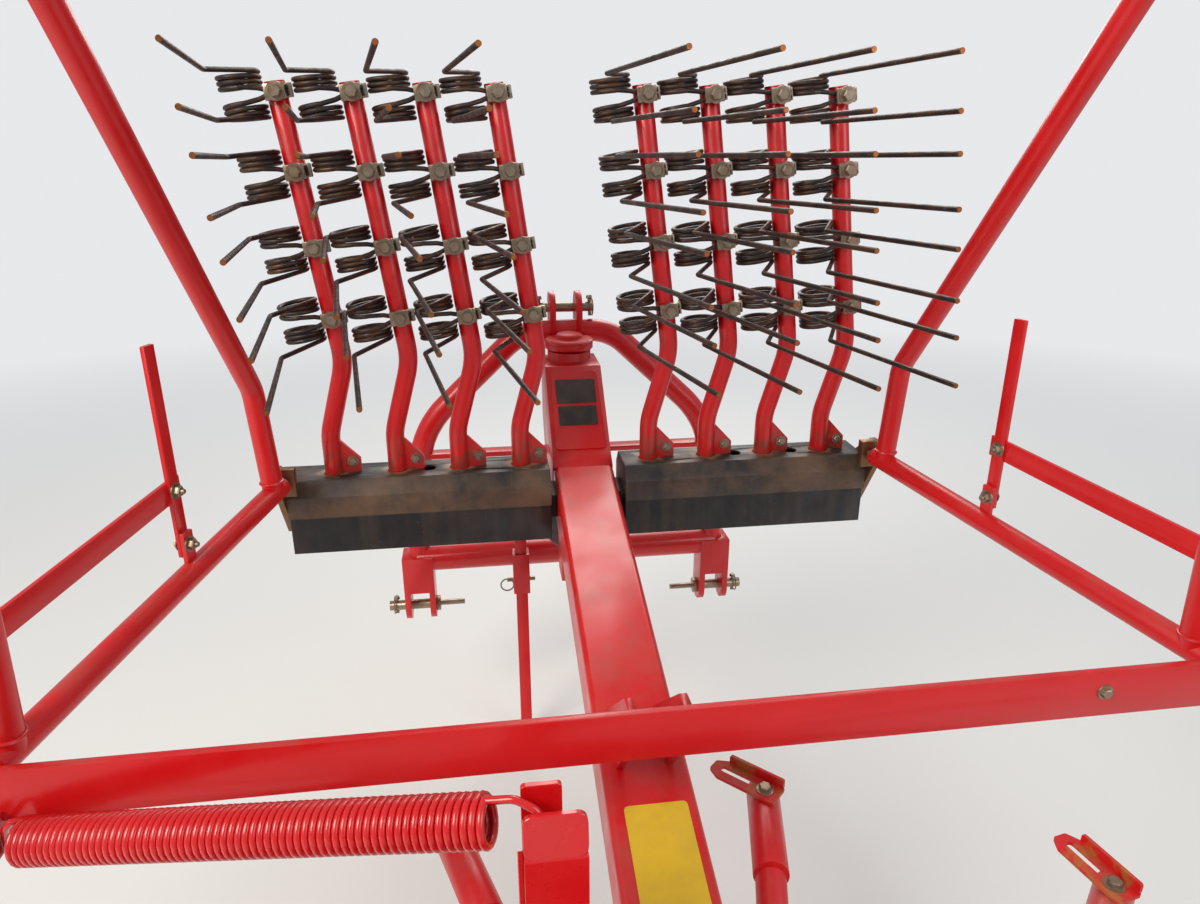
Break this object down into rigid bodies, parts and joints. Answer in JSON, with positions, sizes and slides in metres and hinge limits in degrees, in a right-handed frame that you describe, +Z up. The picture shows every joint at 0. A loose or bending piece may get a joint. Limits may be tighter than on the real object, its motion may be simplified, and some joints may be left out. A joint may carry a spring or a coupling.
{
  "type": "single rotor rake",
  "caption": "Three-point mounted rotary hay rake parked on its wheels and jack, with folded hoop guards, tine arms stowed in racks, a sloping beam and a swivel headstock.",
  "frame": {"origin": "middle of the ground rectangle that the whole parked machine covers", "axes": "+X to the machine's right, +Y forwards to the tractor, +Z up"},
  "size_m": [2.0534, 3.8944, 2.051],
  "materials": {
    "red_paint": "glossy",
    "black_paint": "satin",
    "tine_steel": "worn",
    "zinc_steel": "satin",
    "tyre": "matte",
    "black_plastic": "matte"
  },
  "bodies": {
    "frame": {"beam": "red_paint", "neck": "red_paint", "input_housing": "red_paint", "input_shaft": "zinc_steel", "shaft_guard": "black_plastic", "rack_left": "black_paint", "rack_right": "black_paint", "rack_plates": "black_paint", "stowed_arms": "red_paint", "stowed_tines_left": "tine_steel", "stowed_tines_right": "tine_steel", "gearbox": "red_paint", "column": "red_paint", "chassis": "red_paint", "pivot_brackets": "zinc_steel", "crossbar": "red_paint", "spring_post": "red_paint", "spring": "red_paint"},
    "rotor": {"rotor_drum": "red_paint", "stub_arms": "red_paint", "rotor_arms": "red_paint", "rotor_tines": "tine_steel"},
    "headstock": {"headstock": "red_paint", "lower_pins": "zinc_steel", "top_link_pin": "zinc_steel"},
    "jack": {"jack_leg": "red_paint"},
    "guard_left": {"guard_hoop_left": "red_paint", "guard_flats_left": "red_paint"},
    "guard_right": {"guard_hoop_right": "red_paint", "guard_flats_right": "red_paint"},
    "wheel_front_left": {"rim_front_left": "red_paint", "tyre_front_left": "tyre"},
    "wheel_front_right": {"rim_front_right": "red_paint", "tyre_front_right": "tyre"},
    "wheel_rear_left": {"rim_rear_left": "red_paint", "tyre_rear_left": "tyre"},
    "wheel_rear_right": {"rim_rear_right": "red_paint", "tyre_rear_right": "tyre"}
  },
  "joints": [
    {"name": "rotor_turn", "type": "hinge", "parent": "frame", "child": "rotor", "pos_m": [0, -0.1378, 0.325], "axis": [0, 0, 1], "continuous": true},
    {"name": "head_swivel", "type": "hinge", "parent": "frame", "child": "headstock", "pos_m": [0, 1.8022, 1], "axis": [0, 0, 1], "range_deg": [-15, 15]},
    {"name": "jack_slide", "type": "slide", "parent": "headstock", "child": "jack", "axis": [0, 0, 1], "range_m": [0, 0.35]},
    {"name": "guard_left_fold", "type": "hinge", "parent": "frame", "child": "guard_left", "pos_m": [-0.866, 0.6222, 0.921], "axis": [-0.2822, -0.9538, -0.1032], "range_deg": [0, 95]},
    {"name": "guard_right_fold", "type": "hinge", "parent": "frame", "child": "guard_right", "pos_m": [0.866, 0.6222, 0.921], "axis": [-0.2822, 0.9538, 0.1032], "range_deg": [0, 95]},
    {"name": "wheel_front_left_roll", "type": "hinge", "parent": "frame", "child": "wheel_front_left", "pos_m": [-0.425, 0.1272, 0.18], "axis": [1, 0, 0], "continuous": true},
    {"name": "wheel_front_right_roll", "type": "hinge", "parent": "frame", "child": "wheel_front_right", "pos_m": [0.425, 0.1272, 0.18], "axis": [1, 0, 0], "continuous": true},
    {"name": "wheel_rear_left_roll", "type": "hinge", "parent": "frame", "child": "wheel_rear_left", "pos_m": [-0.425, -0.4028, 0.18], "axis": [1, 0, 0], "continuous": true},
    {"name": "wheel_rear_right_roll", "type": "hinge", "parent": "frame", "child": "wheel_rear_right", "pos_m": [0.425, -0.4028, 0.18], "axis": [1, 0, 0], "continuous": true}
  ]
}
